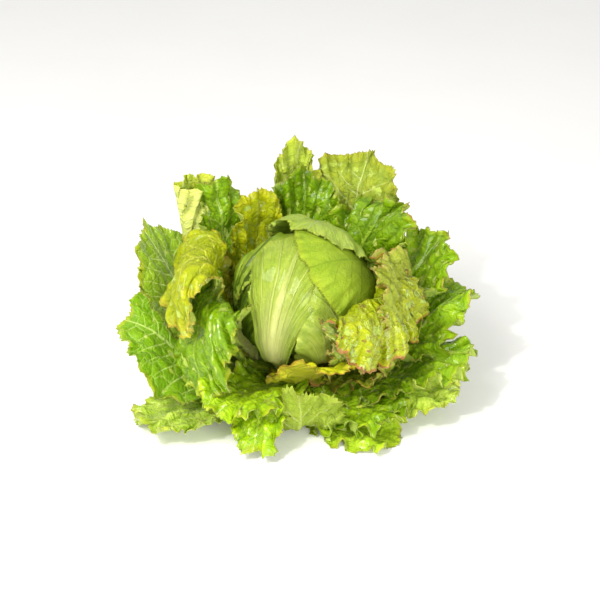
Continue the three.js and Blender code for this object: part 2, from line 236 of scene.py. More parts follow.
def heart_ball(rows, columns):
    """A ball whose radius dips along four spiral folds: r = R (1 - 0.02 exp(-(f/0.12)^2) sin d),
    with f the sine that is zero on a fold and d the angle down from the top."""
    down = np.linspace(0, np.pi, rows)[1:-1, None]
    round_it = np.linspace(0, 2 * np.pi, columns, endpoint=False)[None, :]
    fold = np.sin(2 * round_it + 2.4 * down + 0.5 * np.sin(3 * down))
    r = HEART_RADIUS * (1 - 0.02 * np.exp(-(fold / 0.12) ** 2) * np.sin(down))
    ball = np.stack([r * np.sin(down) * np.cos(round_it), r * np.sin(down) * np.sin(round_it),
                     r * np.cos(down) * HEAD_SQUASH + 0 * round_it], -1)
    tip = HEART_RADIUS * HEAD_SQUASH
    points = np.concatenate([ball.reshape(-1, 3), [[0, 0, tip], [0, 0, -tip]]])
    return leaned(points), closed_rings(rows - 2, columns, turned=True)


def heart_finish():
    """Pale leaf with long soft greener streaks."""
    finish, nodes, shader = new_finish("heart_leaf")
    place = nodes.new("TexCoord").outputs["Object"]
    upright = nodes.new("Mapping", {"Vector": place, "Scale": (1, 1, 0.3)}).outputs[0]
    streak = nodes.mottle(upright, 130, 4)
    green = nodes.ramp(streak, 0.35, 0.7)
    nodes.fill(shader, {
        "Base Color": nodes.blend(green, paint(HEART_PALE), paint(HEART_GREEN)),
        "Roughness": nodes.ramp(streak, 0.3, 0.7, 0.36, 0.5),
        "Normal": nodes.new("Bump", {"Height": streak, "Distance": 0.0008}).outputs[0]})
    return finish


heart = put_mesh("heart_ball", *heart_ball(HEART_ROWS, HEART_COLUMNS))
heart.data.materials.append(heart_finish())
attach(heart, "root")
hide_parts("heart")


# ---- The head leaves ----
# The leaves that wrap the heart, each lying on the one before it: thin, smooth and pale, with a
# broad white rib that spreads from the foot as a fan of veins, and finely toothed margins.
HEAD_FOOT_ARC = 17  # from the ball's lowest point to a leaf's foot
FOOT_WIDTH = 9  # half of a leaf's foot
FAN = math.radians(160)  # half the angle that a leaf's margin sweeps
MARGIN_POWER = 2.4  # of the superellipse that is a leaf's outline
MARGIN_WAVES = 4.5  # on each side of the midrib
TOOTH_WIDTHS = (1.9, 4.8)
TOOTH_HEIGHTS = (0.5, 2.8)
TOOTH_POINT = 0.62  # how far along a tooth its point is
BLADE = 0.55  # how thick a leaf is between its veins
HEAD_REACH = 77.5  # the head's skin, which the wrapper leaves stay outside
HEAD_SOFTNESS = 1.5
TABLE_GAP = 0.9  # under a leaf's middle
TABLE_SOFTNESS = 2
ROWS = 30  # of the upper face, from foot to margin; the lower has every second one
RIB_HEIGHT = 3.2  # of a stout midrib at its foot, below the blade
VEIN_HEIGHT = 0.45
UPPER_LOWEST, LOWER_LOWEST = 0.15, 0.02  # above the table
ROW_CROWDING = 1.5  # the power by which the rows crowd towards the margin
HEAD_SEED = 11  # of the first leaf's random numbers, and the next leaf's is one more
AGED_GOLD, AGED_RUST, SPECK, BURNT = "#c4bc2e", "#a5673a", "#8a7a3a", "#7a4426"

# A row gives a leaf's name, the side that it grows from in degrees, its length, half its width
# and, here, the radius of the sphere that it lies on. The rest comes from the row, or else from
# the leaf's habit, or else from this.
PLAIN_LEAF = dict(
    belly=0.56, taper=0,  # where along it is widest, and how its sides draw in below that
    sweep=0, roll=0, lift=0,  # tip swept round and sides tipped, in degrees; margin laid back
    twist=None, fold=None,  # (place along it, degrees); (side, start, bend radius, degrees)
    outside=True,  # kept outside the head's skin
    ruffle=4, frill=1.2,  # the margin's longest waves and its shorter ones
    teeth=1, tooth=1, lobes=1,  # the teeth's height and width, and the lobes they stand on
    blister=1, cell=17, crumple=1, pleat=0, ridge=0,  # the blade's relief, and a blister's size
    stout=1, fan=0, branch=17,  # the midrib's size; side veins in a fan, or this far apart
    net=0.13, net_share=0.2, contrast=0.5, vein_and_painted_slit_width=1, ditch=0,  # how the veins show, with painted shade in the slits and ditches
    white=0.22, vee=0, pale_foot=0.45, streak=0,  # the pale foot's length, sides and strength
    gold=0.25, band=2, rust=0.25, rust_band=0, specks=0.35, patch=0,  # how far it has aged
    under="#b6cc56", under_rib="#d8e29c", under_edge="#b5a05a",  # the colours of its back
    turned=False,  # both faces coloured as its upper one
    matt=0.34, wet=0.25, glow=0.25, relief=1, grit=0.9, wrinkle=1)  # its gloss and its grain
# Head leaves are painted with shade in the ditch beside each vein.
HEAD_HABIT = dict(
    slot="head_leaf", outer="#aec248", deep="#86a02a", rib="#f0ec9e", outside=False, turned=True,
    ruffle=0, frill=0.12, teeth=0.5, lobes=0.6, lift=1, blister=0.1, cell=24, crumple=0.35,
    pleat=1.2, stout=0.4, fan=6, net=0.05, net_share=0.15, contrast=0.3, ditch=0.7, white=0.85,
    vee=0.06, pale_foot=0.85, streak=2.2, gold=0.15, rust=0.1, matt=0.36, wet=0.35, glow=0.12,
    relief=0.3, grit=1.5, wrinkle=0.8)
HEAD_LEAVES = [
    # The innermost leaf is painted a darker green, as painted shade where it shows in the gap
    # between head and wrappers.
    dict(name="inner_front", azimuth=-82, radius=60.6, length=165, width=62, outer="#93a83a",
         deep="#5f7c16", white=0.01, pale_foot=0),
    dict(name="back_left", azimuth=130, radius=63.2, length=192, width=80),
    # The left leaf's veins are painted dark and wide, and its colours darker, as painted shade in
    # the slits between nested leaf margins.
    dict(name="left", azimuth=-158, radius=65.8, length=186, width=52, belly=0.65, taper=0.5,
         ridge=5, outer="#aac43c", deep="#6f8e1c", rib="#3c540a", fan=6.3, contrast=1, vein_and_painted_slit_width=2.6,
         ditch=0, white=0.01, pale_foot=0),
    dict(name="low_right", azimuth=-48, radius=68.4, length=150, width=52, taper=0.3, crumple=0.9,
         pleat=2.4, outer="#bccd58", deep="#8aa42e"),
    dict(name="front", azimuth=-110, radius=71, length=204, width=46, belly=0.75, taper=1, lift=-3,
         crumple=0.5, pleat=1.6),
    dict(name="right_cap", slot="head_cap", azimuth=6, radius=73.6, length=230, width=84, lift=1.5,
         twist=(147, 44), frill=0.22, teeth=0.9, tooth=0.68, lobes=0.35, crumple=0.4, pleat=0.1,
         outer="#a6be36", deep="#88a426", rib="#6f8c1e", fan=0, branch=21, net=0.09, net_share=0.2,
         contrast=0.6, ditch=0, white=0.1, vee=0, streak=0, matt=0.42, wet=0.1),
    dict(name="back_right", slot="head_cap", azimuth=62, radius=76.2, length=230, width=66, lift=2,
         frill=0.4, teeth=0.9, crumple=0.9, outer="#bad254", deep="#92ac36", rib="#e2e8b0", fan=0,
         ditch=0, white=0.2, vee=0),
]


def eased(value, low, high):
    """0 up to low and 1 from high, and between them t t (3 - 2 t)."""
    t = np.clip((value - low) / (high - low), 0, 1)
    return t * t * (3 - 2 * t)


def kept_above(value, floor, softness):
    """A value held smoothly above a floor: floor + s ln(1 + exp((value - floor)/s))."""
    clear = (value - floor) / softness
    held = floor + softness * np.log1p(np.exp(np.minimum(clear, 30)))
    return np.where(clear < 20, held, value)


def swell(x, y, seed):
    """A soft random swell between about -1 and 1: six plane waves whose directions and lengths
    step by irrational amounts, added and divided by three."""
    total = 0
    for k in range(6):
        way = 2.399 * k + seed
        pace = 0.75 + 0.31 * k
        walk = x * math.cos(way) + y * math.sin(way)
        total = total + np.sin(pace * walk + 5.1 * k * seed) / pace
    return total / 3


def blisters(x, y, seed):
    """Rounded domes between the veins: each square of the plane holds one point at a random
    place, and the height is 1 - exp(-(e/0.2)^2), with e half the difference between the
    distances to the nearest point and the next."""
    near = np.full(np.broadcast(x, y).shape, 9.0)
    second = near.copy()
    across, up = np.floor(x), np.floor(y)
    for i in (-1, 0, 1):
        for j in (-1, 0, 1):
            cx, cy = across + i, up + j
            hx = np.modf(np.abs(np.sin(cx * 127.1 + cy * 311.7 + seed) * 43758.5))[0]
            hy = np.modf(np.abs(np.sin(cx * 269.5 + cy * 183.3 + seed) * 24634.6))[0]
            far = np.hypot(cx + 0.15 + 0.7 * hx - x, cy + 0.15 + 0.7 * hy - y)
            second = np.minimum(second, np.maximum(near, far))
            near = np.minimum(near, far)
    return 1 - np.exp(-((second - near) / 0.4) ** 2)


def laid_flat(leaf, u, v):
    """A leaf laid flat, as side and along. The margin is the superellipse
    (side/width)^2.4 + (end/half)^2.4 = 1 round the leaf's middle, swept over 160 degrees each
    way by v and drawn in below the middle by the taper. The ray of v bends from the foot out to
    it as a curve of second order in u."""
    angle = v * FAN
    middle = leaf["belly"] * leaf["length"]
    half = np.where(np.cos(angle) > 0, leaf["length"] - middle, middle)
    reach = ((np.abs(np.sin(angle)) / leaf["width"]) ** MARGIN_POWER
             + (np.abs(np.cos(angle)) / half) ** MARGIN_POWER) ** (-1 / MARGIN_POWER)
    side, end = reach * np.sin(angle), middle + reach * np.cos(angle)
    side = side * (1 - leaf["taper"] * np.clip(1 - end / middle, 0, 1))
    bend = np.minimum(np.maximum(0.62 * end, 0.3 * np.abs(side)), 0.9 * end + 4)
    w = 1 - u
    return (w * w * v * FOOT_WIDTH + 2 * u * w * v * FOOT_WIDTH * 1.3 + u * u * side,
            2 * u * w * bend + u * u * end)


def margin_rays(leaf, chance):
    """Where a leaf's rays meet its margin, which is cut into teeth of random widths, with a ray
    at each notch and each point. Gives a ray's v, its distance along the margin and its height
    in its tooth."""
    fine = np.linspace(-1, 1, 2001)
    side, along = laid_flat(leaf, 1.0, fine)
    walked = np.r_[0, np.cumsum(np.hypot(np.diff(side), np.diff(along)))]
    notches = np.r_[0, np.cumsum(leaf["tooth"] * chance.uniform(*TOOTH_WIDTHS, 900))]
    count = int(np.searchsorted(notches, walked[-1]))
    notches = notches[:count + 1] * walked[-1] / notches[count]
    at = notches[:-1, None] + np.diff(notches)[:, None] * np.array([0, TOOTH_POINT])
    tall = chance.uniform(*TOOTH_HEIGHTS, count)[:, None] * np.array([0, 1])
    at, tall = np.r_[at.ravel(), walked[-1]], np.r_[tall.ravel(), 0]
    return np.interp(at, walked, fine), at, tall


def over_the_head(leaf, side, along):
    """A head leaf's place: its length runs up a meridian of its own sphere, (17 + along)/R round
    from the lowest point, and its width goes across that by side/R. A twisted leaf is turned
    about the line from the centre through the twist's place on its midrib: each point p becomes
    p cos t + (k x p) sin t + k (k . p)(1 - cos t)."""
    up = (HEAD_FOOT_ARC + along) / leaf["radius"]
    across = side / leaf["radius"]
    turn = math.radians(leaf["azimuth"])
    point = np.stack([
        np.cos(across) * np.sin(up) * math.cos(turn) - np.sin(across) * math.sin(turn),
        np.cos(across) * np.sin(up) * math.sin(turn) + np.sin(across) * math.cos(turn),
        -np.cos(across) * np.cos(up)], -1)
    if leaf["twist"]:
        where, degrees = leaf["twist"]
        rise, angle = (HEAD_FOOT_ARC + where) / leaf["radius"], math.radians(degrees)
        about = np.array([math.sin(rise) * math.cos(turn), math.sin(rise) * math.sin(turn),
                          -math.cos(rise)])
        point = (point * math.cos(angle) + np.cross(about, point) * math.sin(angle)
                 + about * (point @ about)[..., None] * (1 - math.cos(angle)))
    return leaned(leaf["radius"] * point * np.array([1, 1, HEAD_SQUASH]))


def facing(place, leaf, side, along):
    """The direction of a leaf's upper face: its way along crossed with its way across, each
    taken over one millimetre."""
    a = place(leaf, side, along + 0.5) - place(leaf, side, along - 0.5)
    b = place(leaf, side + 0.5, along) - place(leaf, side - 0.5, along)
    n = np.cross(a, b)
    return n / np.linalg.norm(n, axis=-1, keepdims=True)


def vein_course(leaf, side, along, u, v, seed):
    """Counts the side veins: a whole number lies on a vein, and the span is the distance from
    one to the next. A fan of veins follows the rays; the others leave the midrib at an angle."""
    if leaf["fan"]:
        ray = v * leaf["fan"] + 0.25 * np.sin(5 * v + seed) + 0.12 * np.sin(9 * u + 7 * v)
        across = np.hypot(np.gradient(side, axis=1), np.gradient(along, axis=1))
        return ray, across / np.gradient(v, axis=1) / leaf["fan"]
    branch = leaf["branch"]
    ray = (along - 0.95 * np.abs(side) + 0.004 * side ** 2) / branch + 0.35 * np.sign(side)
    return ray + 0.18 * np.sin(along / 21 + seed) + 0.1 * np.sin(side / 9), 0 * side + branch * 0.72


def wander(at, seed):
    """A slow drift along the margin, which keeps its waves and lobes out of step."""
    return 1.3 * np.sin(at / 19 + seed) + 0.8 * np.sin(at / 8.3 + 2 * seed)


def margin_waves(leaf, u, v, at, bulge, seed):
    """How far the waves of a leaf's margin raise it and shift it along itself: waves 43, 19 and
    10 mm long, each rising by sin p and shifting by -sin 2p, so that they double back."""
    stray = wander(at, seed)
    loud = 0.75 + 0.55 * np.sin(at / 31 + 4 * seed)
    long_wave = 2 * np.pi * at / 43 + 1.1 * stray + 1.6 * bulge
    mid_wave = 2 * np.pi * at / 19 + 1.6 * np.sin(at / 23 + 3 * seed) + 0.7 * stray + bulge
    short_wave = 2 * np.pi * at / 10 + 2.2 * np.sin(at / 15 + 5 * seed)
    rise = leaf["ruffle"] * u ** 3 * np.sin(MARGIN_WAVES * np.pi * v + leaf["azimuth"])
    shift = 0
    for share, wave, high, far in ((eased(u, 0.5, 1.05), long_wave, 2.8, 1.3),
                                   (loud * eased(u, 0.74, 1), mid_wave, 3.5, 1.4),
                                   (eased(u, 0.88, 1), short_wave, 1.8, 0.6)):
        rise = rise + leaf["frill"] * high * share * np.sin(wave)
        shift = shift - leaf["frill"] * far * share * np.sin(2 * wave)
    return rise, shift


def toothed(leaf, u, v, at, tall, shift, side, along, seed):
    """The flat leaf with its margin shifted along itself and pushed out in lobes and teeth."""
    edge_side, edge_along = laid_flat(leaf, 1.0, v)
    way = np.stack([np.gradient(edge_side[0], at), np.gradient(edge_along[0], at)])
    way = way / np.hypot(*way)
    lobes = 3.4 * np.sin(at / 10 + 1.3 * wander(at, seed)) + 1.9 * np.sin(at / 4.1 + seed) - 2
    out = leaf["teeth"] * (tall * eased(u, 0.88, 1) + lobes * eased(u, 0.74, 1) * leaf["lobes"])
    return side + shift * way[0] - out * way[1], along + shift * way[1] + out * way[0]


def blade_relief(leaf, u, v, side, along, ray, bulge, seed):
    """How far a leaf's blade is raised, and its blisters alone: blisters of two sizes, swells
    and creases, pleats along the rays, and ridges between veins."""
    size = leaf["cell"]
    away = eased(np.abs(side), 1, 7) * eased(u, 0.1, 0.4)
    puff = blisters(side / size + 31 + seed, along / size + 17, seed)
    small = blisters(side / size * 2.4 + 11 + seed, along / size * 2.4 + 7, seed + 3)
    crease = swell(side / 4.1 + 9, along / 4.1, seed + 2)
    rise = leaf["blister"] * (3.0 * puff + 0.6 * small) * away
    rise = rise + leaf["crumple"] * eased(u, 0.12, 0.55) * (4.2 * bulge + 1.0 * crease)
    rise = rise + leaf["pleat"] * eased(u, 0.1, 0.5) * swell(v * 15, u * 2.2, seed + 1)
    rise = rise + leaf["ridge"] * eased(u, 0.05, 0.25) * np.abs(np.sin(np.pi * ray)) ** 0.6
    return rise, puff * away


def folded(fold, side, rise):
    """A leaf turned over beside its midrib: past the start it bends at the given radius through
    the given turn, and then goes on straight."""
    fold_side, start, bend, turn = fold
    past = np.maximum(side * fold_side - start, 0)
    bent = np.minimum(past / bend, math.radians(turn))
    rest = past - bent * bend
    turned = fold_side * (start + bend * np.sin(bent) + rest * np.cos(bent))
    raised = rise * np.cos(bent) + bend * (1 - np.cos(bent)) + rest * np.sin(bent)
    return np.where(past > 0, turned, side), np.where(past > 0, raised, rise)


def leaf_middle(place, leaf, u, v, at, tall, seed):
    """The surface halfway through a leaf, point by point, and its blisters. The flat leaf is
    toothed, waved, raised, rolled and folded, put in place, and held off head and table."""
    side, along = laid_flat(leaf, u, v)
    ray, _ = vein_course(leaf, side, along, u, v, seed)
    bulge = swell(side / 11, along / 11, seed)
    rise, shift = margin_waves(leaf, u, v, at, bulge, seed)
    side, along = toothed(leaf, u, v, at, tall, shift, side, along, seed)
    relief, puff = blade_relief(leaf, u, v, side, along, ray, bulge, seed)
    rise = rise + relief - leaf["lift"] * eased(u, 0.74, 1)
    rise = rise + leaf["teeth"] * 0.5 * tall * eased(u, 0.88, 1) * np.sin(at / 3 + seed)
    rise = rise + math.sin(math.radians(leaf["roll"])) * side * np.clip(along / 60, 0, 1)
    if leaf["fold"]:
        side, rise = folded(leaf["fold"], side, rise)
    point = place(leaf, side, along) + facing(place, leaf, side, along) * rise[..., None]
    if leaf["outside"]:
        apart = point - HEAD_CENTRE
        far = np.linalg.norm(apart, axis=-1, keepdims=True)
        point = HEAD_CENTRE + apart * kept_above(far, HEAD_REACH, HEAD_SOFTNESS) / far
    point[..., 2] = kept_above(point[..., 2], TABLE_GAP, TABLE_SOFTNESS)
    return point, puff


def grid_faces(rows, columns, start=0, turned=False):
    """The quads of a grid of rows by columns whose first point has the number start."""
    first = (np.arange(rows - 1)[:, None] * columns + np.arange(columns - 1)).ravel() + start
    quads = np.stack([first, first + columns, first + columns + 1, first + 1], 1)
    return quads[:, ::-1] if turned else quads


def shell_faces(columns, kept):
    """The faces of a leaf's closed shell: its upper face, its lower face, which has only the
    kept rows and is numbered after it, and a rim of faces between them."""
    count = ROWS * columns
    top = np.arange(count).reshape(ROWS, columns)
    low = count + np.arange(len(kept) * columns).reshape(len(kept), columns)
    faces = grid_faces(ROWS, columns).tolist()
    faces += grid_faces(len(kept), columns, count, turned=True).tolist()
    for row in (0, -1):
        a, b, c, d = top[row, :-1], top[row, 1:], low[row, 1:], low[row, :-1]
        faces += np.stack([a, b, c, d] if row == 0 else [b, a, d, c], 1).tolist()
    for column in (0, -1):
        for k in range(len(kept) - 1):
            upper = top[kept[k]:kept[k + 1] + 1, column][::-1]
            strip = [low[k, column], low[k + 1, column], *upper]
            faces.append(strip[::-1] if column == 0 else strip)
    return faces


def leaf_piece(name, place, leaf, seed):
    """A leaf as a closed shell: the middle surface moved along its normal by half the blade each
    way, and further below the midrib and the side veins. It carries three sets of numbers:
    its flat place, its veins and its skin."""
    v, at, tall = margin_rays(leaf, np.random.default_rng(seed))
    u = (1 - (1 - np.linspace(0, 1, ROWS)) ** ROW_CROWDING)[:, None]
    v = v[None, :]
    point, puff = leaf_middle(place, leaf, u, v, at, tall, 0.7 * seed)
    side, along = laid_flat(leaf, u, v)
    edge_side, edge_along = laid_flat(leaf, 1.0, v)
    inwards = np.hypot(edge_side - side, edge_along - along)
    ray, span = vein_course(leaf, side, along, u, v, 0.7 * seed)
    off_vein = np.abs(ray - np.round(ray)) * span
    normal = np.cross(np.gradient(point, axis=0), np.gradient(point, axis=1))
    normal /= np.maximum(np.linalg.norm(normal, axis=-1, keepdims=True), 1e-9)
    w = 1 - u
    rib = leaf["stout"] * RIB_HEIGHT * w ** 1.6 * np.exp(-(side / (1.2 + 6.5 * w ** 2)) ** 2)
    vein = VEIN_HEIGHT * np.exp(-(off_vein / (0.7 + 0.9 * w)) ** 2)
    vein = vein * (1 - 0.6 * u) * eased(u, 0.04, 0.2)
    upper = point + normal * (BLADE / 2 + 0.25 * rib - 0.3 * vein)[..., None]
    lower = point - normal * (BLADE / 2 + rib + vein)[..., None]
    upper[..., 2] = np.maximum(upper[..., 2], UPPER_LOWEST)
    lower[..., 2] = np.maximum(lower[..., 2], LOWER_LOWEST)
    kept = np.r_[0:ROWS - 1:2, ROWS - 1]
    points = np.concatenate([upper.reshape(-1, 3), lower[kept].reshape(-1, 3)])
    piece = put_mesh(name, points, shell_faces(puff.shape[1], kept))
    flat = np.stack([side, along, 0 * side + seed], -1)
    veins = np.stack([ray, span, u + 0 * v], -1)
    skin, inner_skin = (np.stack([puff, 0 * puff + under, inwards], -1) for under in (0.0, 1.0))
    for label, above, below in (("leaf_flat", flat, flat), ("leaf_veins", veins, veins),
                                ("leaf_skin", skin, inner_skin)):
        data = piece.data.attributes.new(label, "FLOAT_VECTOR", "POINT").data
        both = np.concatenate([above.reshape(-1), below[kept].reshape(-1)])
        data.foreach_set("vector", both.astype(np.float32))
    return piece


def read(nodes, label):
    """One of the sets of numbers that a leaf's shell carries: whole, and as its three parts."""
    whole = nodes.new("Attribute", attribute_name=label).outputs["Vector"]
    return whole, nodes.new("SeparateXYZ", {0: whole}).outputs


def vein_net(nodes, where, scale, line):
    """A net of small veins, scale meshes to a millimetre: its lines, and the domes between."""
    inputs = {"Vector": where, "Scale": scale}
    settings = dict(voronoi_dimensions="2D", feature="DISTANCE_TO_EDGE")
    gap = nodes.new("TexVoronoi", inputs, **settings).outputs["Distance"]
    return nodes.ramp(gap, 0, line, 1, 0), nodes.ramp(gap, 0, 0.32)


def leaf_marks(nodes, leaf):
    """The marks on a leaf, each as a share. The midrib and the side veins are drawn by their
    distance in millimetres and taper towards the margin. A ditch runs beside each side vein,
    sunk in the relief and painted with shade, and a coarse and a fine net lie between them."""
    flat, (side, _, _) = read(nodes, "leaf_flat")
    _, (ray, span, reach) = read(nodes, "leaf_veins")
    _, (puff, under, inwards) = read(nodes, "leaf_skin")
    marks = dict(flat=flat, puff=puff, under=under, inwards=inwards)
    drift = nodes.new("TexNoise", {"Vector": flat, "Scale": 0.11, "Detail": 2}).outputs["Color"]
    warped = nodes.new("VectorMath", {0: drift, 1: (7, 7, 0), 2: flat}, operation="MULTIPLY_ADD")
    net, marks["dome"] = vein_net(nodes, warped.outputs[0], leaf["net"], 0.07)
    fine_net, marks["small_dome"] = vein_net(nodes, warped.outputs[0], leaf["net"] * 2.7, 0.1)

    root = nodes.sums("SUBTRACT", 1.0, reach)
    off_ray = nodes.times(nodes.sums("SUBTRACT", ray, nodes.sums("ROUND", ray)), span)
    # Side-vein lines, widened where a leaf's dark veins are painted shade of slits.
    thin = nodes.sums("DIVIDE", nodes.sums("ABSOLUTE", off_ray), leaf["vein_and_painted_slit_width"])
    side_vein = nodes.ramp(thin, nodes.line(root, 0.5, 0.12), nodes.line(root, 2.0, 0.55), 1, 0)
    side_vein = nodes.times(side_vein, nodes.ramp(reach, 0.75, 1.0, 0.85, 0.25))
    # The ditch beside each side vein, which leaf_green darkens as painted shade.
    beside = nodes.sums("ABSOLUTE", nodes.sums("SUBTRACT", off_ray, nodes.line(root, 1.3, 0.6)))
    marks["side_vein"] = side_vein
    marks["ditch"] = nodes.times(nodes.ramp(beside, 0.15, 0.7, 1, 0), nodes.ramp(reach, 0.25, 0.5))
    swelling = nodes.sums("POWER", root, 2.0)
    midrib = nodes.ramp(nodes.sums("ABSOLUTE", side), nodes.line(swelling, 4.5, 0.15),
                        nodes.line(swelling, 9.0, 0.9), 1, 0)
    valley = nodes.times(nodes.ramp(puff, 0.0, 0.6, 1, 0), 0.12 * min(leaf["blister"], 1))
    veins = nodes.larger(nodes.larger(midrib, side_vein), nodes.times(net, leaf["net_share"]))
    marks["veins"] = nodes.larger(nodes.larger(veins, nodes.times(fine_net, 0.07)), valley)
    up_the_foot = nodes.line(nodes.sums("ABSOLUTE", ray), leaf["vee"], reach)
    marks["foot"] = nodes.ramp(up_the_foot, 0.0, leaf["white"], 1, 0)

    fanned = nodes.new("CombineXYZ", {0: ray, 1: nodes.times(reach, 1.3)}).outputs[0]
    marks["streak"] = nodes.mottle(fanned, 3.6, 5, 0.68)
    marks["blotch"] = nodes.mottle(flat, 0.035, 3)
    marks["fine"] = nodes.mottle(flat, 0.35, 4, 0.65)
    marks["grit"] = nodes.mottle(flat, 0.55, 3, 0.7)
    return marks


def leaf_green(nodes, leaf, marks):
    """The living colour of a leaf's upper face: deep in its valleys and ditches as painted shade,
    full on its blisters, and paler on its veins and at its foot."""
    streak = leaf["streak"]
    # Painted shade: the tone falls towards the deep colour in the valleys between blisters and net
    # domes and is full on their tops; the mottles add random tone.
    tone = nodes.plus(nodes.times(marks["puff"], 0.45), nodes.times(marks["dome"], 0.25))
    tone = nodes.plus(tone, nodes.line(marks["fine"], 0.7, -0.28), clamp=True)
    tone = nodes.plus(tone, nodes.line(marks["blotch"], 1.0, -0.45), clamp=True)
    tone = nodes.plus(tone, nodes.line(marks["streak"], streak, -0.5 * streak), clamp=True)
    colour = nodes.blend(tone, paint(leaf["deep"]), paint(leaf["outer"]))
    # The ditches are painted shade in the deep colour.
    for mark, share, tint in (("veins", "contrast", "rib"), ("foot", "pale_foot", "rib"),
                              ("ditch", "ditch", "deep")):
        colour = nodes.blend(nodes.times(marks[mark], leaf[share]), colour, paint(leaf[tint]))
    return colour


def aged(nodes, leaf, marks, colour):
    """A leaf's two faces with age: gold and then rust at the margin, as far in as random
    blotches reach, brown specks and burnt patches, and a paler lower face."""
    flat, inwards = marks["flat"], marks["inwards"]
    band = nodes.line(nodes.mottle(flat, 0.055, 3), 30.0, leaf["band"] - 15.0)
    gold = nodes.times(nodes.ramp(nodes.sums("SUBTRACT", inwards, band), -3, 4, 1, 0), leaf["gold"])
    band = nodes.line(nodes.mottle(flat, 0.09, 4, 0.7), 12.0, leaf["rust_band"] - 5.5)
    rust = nodes.ramp(nodes.sums("SUBTRACT", inwards, band), -1.2, 0.8, 1, 0)
    rust = nodes.times(rust, leaf["rust"])
    spot = nodes.new("TexVoronoi", {"Vector": flat, "Scale": 0.13}).outputs["Distance"]
    speck = nodes.times(nodes.ramp(spot, 0.02, 0.09, 1, 0),
                        nodes.ramp(nodes.mottle(flat, 0.05, 1), 0.56, 0.66, 0, leaf["specks"]))
    burnt = nodes.ramp(nodes.mottle(flat, 0.13, 5, 0.75), 0.57, 0.65, 0, leaf["patch"])
    burnt = nodes.times(burnt, nodes.ramp(marks["blotch"], 0.4, 0.55))
    for share, tint in ((gold, AGED_GOLD), (rust, AGED_RUST), (speck, SPECK), (burnt, BURNT)):
        colour = nodes.blend(share, colour, paint(tint))
    if leaf["turned"]:
        return colour
    edge = nodes.larger(rust, nodes.times(gold, 0.5))
    veins = nodes.times(marks["veins"], 0.6)
    back = nodes.blend(veins, paint(leaf["under"]), paint(leaf["under_rib"]))
    back = nodes.blend(edge, back, paint(leaf["under_edge"]))
    back = nodes.blend(nodes.ramp(marks["fine"], 0.35, 0.65, 0.28, 0), back, paint(leaf["deep"]))
    return nodes.blend(marks["under"], colour, back)


def leaf_bump(nodes, leaf, marks):
    """The fine relief of a leaf: domes between sunken veins, and streaks, turned about on its
    lower face, and the ditches, grit and wrinkles of both."""
    height = nodes.times(marks["dome"], 0.75 * leaf["relief"])
    height = nodes.plus(height, nodes.times(marks["small_dome"], 0.3 * leaf["relief"]))
    height = nodes.plus(height, nodes.times(marks["side_vein"], -0.35))
    height = nodes.plus(height, nodes.times(marks["streak"], 1.6 * leaf["streak"]))
    height = nodes.times(height, nodes.line(marks["under"], -2.0, 1.0))
    for mark, share in (("ditch", -0.6 * leaf["ditch"]), ("grit", leaf["grit"]),
                        ("fine", 0.25 * leaf["wrinkle"])):
        height = nodes.plus(height, nodes.times(marks[mark], share))
    return nodes.new("Bump", {"Height": height, "Distance": 0.001}).outputs[0]


def leaf_finish(name, leaf):
    """The finish of one leaf: its colours, a waxy skin, duller below, with water over it, light
    that glows through the blade, and its fine relief."""
    finish, nodes, shader = new_finish(name)
    marks = leaf_marks(nodes, leaf)
    rough = nodes.ramp(marks["fine"], 0.3, 0.7, leaf["matt"] - 0.08, leaf["matt"] + 0.14)
    duller = nodes.times(marks["under"], 0.0 if leaf["turned"] else 0.16)
    nodes.fill(shader, {
        "Base Color": aged(nodes, leaf, marks, leaf_green(nodes, leaf, marks)),
        "Roughness": nodes.plus(rough, duller),
        "Specular IOR Level": 0.3, "Specular Tint": (0.85, 1, 0.3, 1),
        "Coat Weight": leaf["wet"], "Coat Roughness": 0.06,
        "Subsurface Weight": leaf["glow"], "Subsurface Radius": (0.8, 1.0, 0.2),
        "Subsurface Scale": 0.0025,
        "Normal": leaf_bump(nodes, leaf, marks)})
    return finish


def grow(prefix, place, leaf, seed):
    """Makes one leaf with its finish, in place of its plain solid."""
    name = leaf["name"]
    piece = leaf_piece(f"{prefix}{name}_blade", place, leaf, seed)
    piece.data.materials.append(leaf_finish(f"{prefix}{name}_skin", leaf))
    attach(piece, "root")
    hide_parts(prefix + name)


for number, row in enumerate(HEAD_LEAVES):
    leaf = {**PLAIN_LEAF, **HEAD_HABIT, **row}
    grow("head_leaf_", over_the_head, leaf, HEAD_SEED + number)


# ---- The wrapper leaves ----
# The oldest leaves, which stand round the head, hang over or lie on the table, and two loose
# ones that lean on the head: thin, limp, blistered between white ribs, with frilled and toothed
# margins that have begun to brown. They grow from the sides of the stem.
FOOT_RADIUS = 17  # from the stem's centre line to a leaf's foot
FOOT_DEPTH = 4  # how far a midrib runs on into the stem
FOOT_TUCK = 3  # how far a blade's foot is drawn in along it
TIGHTEST_BOW = 20  # the least radius that a blade is bent to, at a wrap of 1
WRAPPER_SEED = 31
LIME = dict(slot="leaf_lime", outer="#b4d810", deep="#74a202", rib="#cfe458", matt=0.28, wet=0.7,
            gold=0.4)
GREEN = dict(slot="leaf_green", outer="#a6ca1c", deep="#669206", rib="#c8de5e", wet=0.5, rust=0.45)
DARK = dict(slot="leaf_dark", outer="#8cb410", deep="#4c7202", rib="#aecb40", matt=0.3, wet=0.7,
            contrast=0.35)
PALE = dict(slot="leaf_pale", outer="#cfda56", deep="#a3ba32", rib="#e6eea4", matt=0.5, wet=0.0,
            gold=0.3)
GOLD = dict(slot="leaf_gold", outer="#cacd14", deep="#96a806", rib="#dcdc5c", wet=0.35, rust=0.7,
            rust_band=1.5, gold=0.7, band=5)
LOOSE = dict(slot="loose_leaf", rust=0.75, rust_band=2, gold=0.5, band=3)
SMOOTH = dict(LIME, frill=0.35, blister=0.4, crumple=0.5, net=0.07, net_share=0.5, contrast=0.8)

